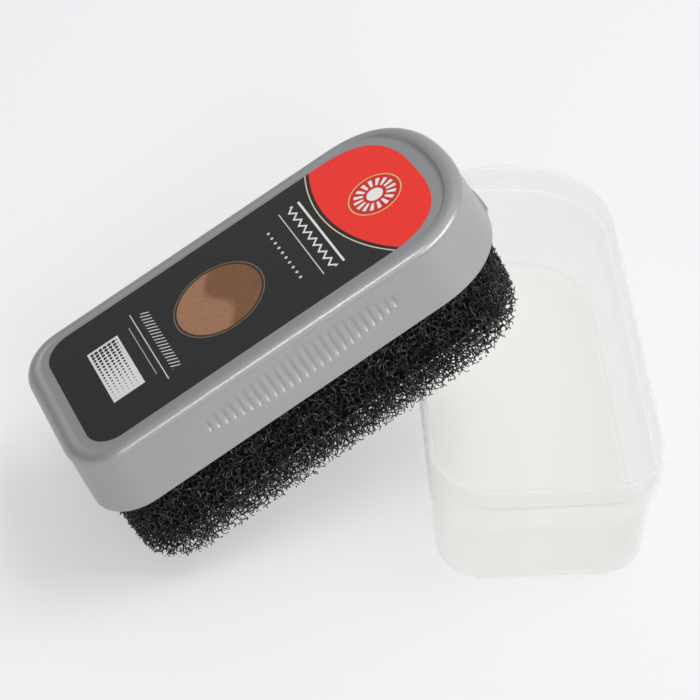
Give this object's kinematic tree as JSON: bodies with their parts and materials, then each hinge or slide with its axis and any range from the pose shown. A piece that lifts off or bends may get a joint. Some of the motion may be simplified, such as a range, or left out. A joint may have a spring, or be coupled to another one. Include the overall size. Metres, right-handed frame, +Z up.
{
  "type": "suede brush",
  "caption": "Hand brush with a moulded grip shell and a thick open-cell foam block, leaning on its own open clip-on cover.",
  "frame": {"origin": "centre of the flat face under the cover's base, on the surface that the set stands on", "axes": "+Z up out of the open cover; +X along the cover towards its rounded nose; +Y across the cover, towards the side that the brush leans from"},
  "size_m": [0.1456, 0.1835, 0.1026],
  "materials": {
    "casing_plastic": "satin",
    "label_film": "satin",
    "plate_plastic": "matte",
    "glue": "satin",
    "foam": "matte",
    "cover_plastic": "satin"
  },
  "bodies": {
    "cover": {"cover": "cover_plastic"},
    "brush": {"casing": "casing_plastic", "label": "label_film", "backing_plate": "plate_plastic", "foam_adhesive": "glue", "foam_block": "foam"}
  },
  "joints": [
    {"name": "brush_lift", "type": "slide", "parent": "cover", "child": "brush", "axis": [0, 0, 1], "range_m": [0, 0.08]}
  ]
}
